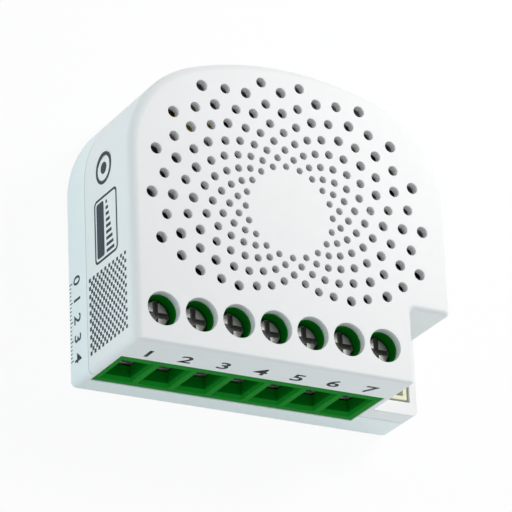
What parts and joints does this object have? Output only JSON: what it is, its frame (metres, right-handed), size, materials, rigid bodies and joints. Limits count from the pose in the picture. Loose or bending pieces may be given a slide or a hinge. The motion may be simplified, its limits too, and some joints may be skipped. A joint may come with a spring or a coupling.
{
  "type": "smart relay module",
  "caption": "Flat in-wall smart relay module: vented case with rounded crown, a row of screw terminals with rising clamps, a corner pocket with a side socket, relays and supply inside.",
  "frame": {"origin": "centre of the rear face", "axes": "+Z out of the vented front face, -Y out of the terminals, +X to the right seen from the front"},
  "size_m": [0.0438, 0.0392, 0.0175],
  "materials": {
    "case_front": "fine satin moulded, off-white",
    "case_rear": "fine satin moulded, off-white",
    "terminal_green": "moulded polyamide, green",
    "zinc_screw": "zinc plated",
    "zinc_cage": "zinc plated",
    "tinned_copper": "tin plated copper",
    "socket_cream": "moulded, cream",
    "contact_tin": "tin plated",
    "board_green": "solder mask over glass laminate",
    "ferrite": "sintered, ground faces",
    "bobbin_plastic": "moulded, ivory",
    "winding_tape": "polyester tape",
    "capacitor_sleeve": "shrink sleeve",
    "film_case": "moulded box",
    "varistor_coat": "dipped coating",
    "resistor_lacquer": "lacquer",
    "chip_black": "moulded",
    "radio_green": "solder mask",
    "header_black": "moulded",
    "shield_tin": "tin plated sheet",
    "antenna_wire": "insulated wire",
    "button_grey": "moulded",
    "plunger_plastic": "moulded",
    "light_lens": "clear",
    "coil_copper": "enamelled wire",
    "relay_iron": "nickel plated iron",
    "spring_copper": "spring strip",
    "relay_base_black": "moulded",
    "relay_cover_black": "moulded, thin"
  },
  "bodies": {
    "root": {"front_shell": "case_front", "rear_cover": "case_rear", "terminal_block": "terminal_green", "terminal_bars": "tinned_copper", "socket_housing": "socket_cream", "socket_pins": "contact_tin", "main_board": "board_green", "transformer_core": "ferrite", "transformer_bobbin": "bobbin_plastic", "transformer_winding": "winding_tape", "bulk_capacitors": "capacitor_sleeve", "film_capacitor": "film_case", "varistor": "varistor_coat", "fusible_resistor": "resistor_lacquer", "rectifier_bridge": "chip_black", "supply_chip": "chip_black", "metering_chip": "chip_black", "radio_board": "radio_green", "radio_header": "header_black", "radio_shield": "shield_tin", "radio_antenna": "antenna_wire", "tact_switch": "chip_black", "status_light": "light_lens", "light_holder": "header_black", "relay_1_base": "relay_base_black", "relay_1_cover": "relay_cover_black", "relay_1_bobbin": "bobbin_plastic", "relay_1_coil": "coil_copper", "relay_1_core": "relay_iron", "relay_1_yoke": "relay_iron", "relay_1_fixed_contact": "spring_copper", "relay_1_pins": "contact_tin", "relay_2_base": "relay_base_black", "relay_2_cover": "relay_cover_black", "relay_2_bobbin": "bobbin_plastic", "relay_2_coil": "coil_copper", "relay_2_core": "relay_iron", "relay_2_yoke": "relay_iron", "relay_2_fixed_contact": "spring_copper", "relay_2_pins": "contact_tin"},
    "screw_1": {"terminal_screw_1": "zinc_screw"},
    "cage_1": {"clamp_cage_1": "zinc_cage"},
    "screw_2": {"terminal_screw_2": "zinc_screw"},
    "cage_2": {"clamp_cage_2": "zinc_cage"},
    "screw_3": {"terminal_screw_3": "zinc_screw"},
    "cage_3": {"clamp_cage_3": "zinc_cage"},
    "screw_4": {"terminal_screw_4": "zinc_screw"},
    "cage_4": {"clamp_cage_4": "zinc_cage"},
    "screw_5": {"terminal_screw_5": "zinc_screw"},
    "cage_5": {"clamp_cage_5": "zinc_cage"},
    "screw_6": {"terminal_screw_6": "zinc_screw"},
    "cage_6": {"clamp_cage_6": "zinc_cage"},
    "screw_7": {"terminal_screw_7": "zinc_screw"},
    "cage_7": {"clamp_cage_7": "zinc_cage"},
    "relay_1_armature": {"relay_1_armature": "relay_iron", "relay_1_contact_leaf": "spring_copper"},
    "relay_2_armature": {"relay_2_armature": "relay_iron", "relay_2_contact_leaf": "spring_copper"},
    "service_button": {"service_button": "button_grey", "switch_plunger": "plunger_plastic"}
  },
  "joints": [
    {"name": "screw_1_turn", "type": "hinge", "parent": "root", "child": "screw_1", "pos_m": [-0.01792, -0.01525, 0.0153], "axis": [0, 0, -1], "range_deg": [0, 1440]},
    {"name": "cage_1_rise", "type": "slide", "parent": "root", "child": "cage_1", "axis": [0, 0, 1], "range_m": [0, 0.0018]},
    {"name": "screw_2_turn", "type": "hinge", "parent": "root", "child": "screw_2", "pos_m": [-0.01293, -0.01525, 0.0153], "axis": [0, 0, -1], "range_deg": [0, 1440]},
    {"name": "cage_2_rise", "type": "slide", "parent": "root", "child": "cage_2", "axis": [0, 0, 1], "range_m": [0, 0.0018]},
    {"name": "screw_3_turn", "type": "hinge", "parent": "root", "child": "screw_3", "pos_m": [-0.00792, -0.01525, 0.0153], "axis": [0, 0, -1], "range_deg": [0, 1440]},
    {"name": "cage_3_rise", "type": "slide", "parent": "root", "child": "cage_3", "axis": [0, 0, 1], "range_m": [0, 0.0018]},
    {"name": "screw_4_turn", "type": "hinge", "parent": "root", "child": "screw_4", "pos_m": [-0.00293, -0.01525, 0.0153], "axis": [0, 0, -1], "range_deg": [0, 1440]},
    {"name": "cage_4_rise", "type": "slide", "parent": "root", "child": "cage_4", "axis": [0, 0, 1], "range_m": [0, 0.0018]},
    {"name": "screw_5_turn", "type": "hinge", "parent": "root", "child": "screw_5", "pos_m": [0.00208, -0.01525, 0.0153], "axis": [0, 0, -1], "range_deg": [0, 1440]},
    {"name": "cage_5_rise", "type": "slide", "parent": "root", "child": "cage_5", "axis": [0, 0, 1], "range_m": [0, 0.0018]},
    {"name": "screw_6_turn", "type": "hinge", "parent": "root", "child": "screw_6", "pos_m": [0.00707, -0.01525, 0.0153], "axis": [0, 0, -1], "range_deg": [0, 1440]},
    {"name": "cage_6_rise", "type": "slide", "parent": "root", "child": "cage_6", "axis": [0, 0, 1], "range_m": [0, 0.0018]},
    {"name": "screw_7_turn", "type": "hinge", "parent": "root", "child": "screw_7", "pos_m": [0.01208, -0.01525, 0.0153], "axis": [0, 0, -1], "range_deg": [0, 1440]},
    {"name": "cage_7_rise", "type": "slide", "parent": "root", "child": "cage_7", "axis": [0, 0, 1], "range_m": [0, 0.0018]},
    {"name": "relay_1_armature_rock", "type": "hinge", "parent": "root", "child": "relay_1_armature", "pos_m": [-0.00767, -0.00435, 0.01252], "axis": [0, 1, 0], "range_deg": [0, 5.2], "stiffness_Nm_per_rad": 0.004, "springref_deg": -2.86},
    {"name": "relay_2_armature_rock", "type": "hinge", "parent": "root", "child": "relay_2_armature", "pos_m": [0.0124, -0.00435, 0.01252], "axis": [0, 1, 0], "range_deg": [0, 5.2], "stiffness_Nm_per_rad": 0.004, "springref_deg": -2.86},
    {"name": "service_button_press", "type": "slide", "parent": "root", "child": "service_button", "axis": [0, -1, 0], "range_m": [0, 0.0004], "stiffness_N_per_m": 200, "springref_m": -0.0003}
  ],
  "couplings": [
    {"joint": "screw_1_turn", "follows": "cage_1_rise", "rad_per_m": 13962},
    {"joint": "screw_2_turn", "follows": "cage_2_rise", "rad_per_m": 13962},
    {"joint": "screw_3_turn", "follows": "cage_3_rise", "rad_per_m": 13962},
    {"joint": "screw_4_turn", "follows": "cage_4_rise", "rad_per_m": 13962},
    {"joint": "screw_5_turn", "follows": "cage_5_rise", "rad_per_m": 13962},
    {"joint": "screw_6_turn", "follows": "cage_6_rise", "rad_per_m": 13962},
    {"joint": "screw_7_turn", "follows": "cage_7_rise", "rad_per_m": 13962}
  ]
}
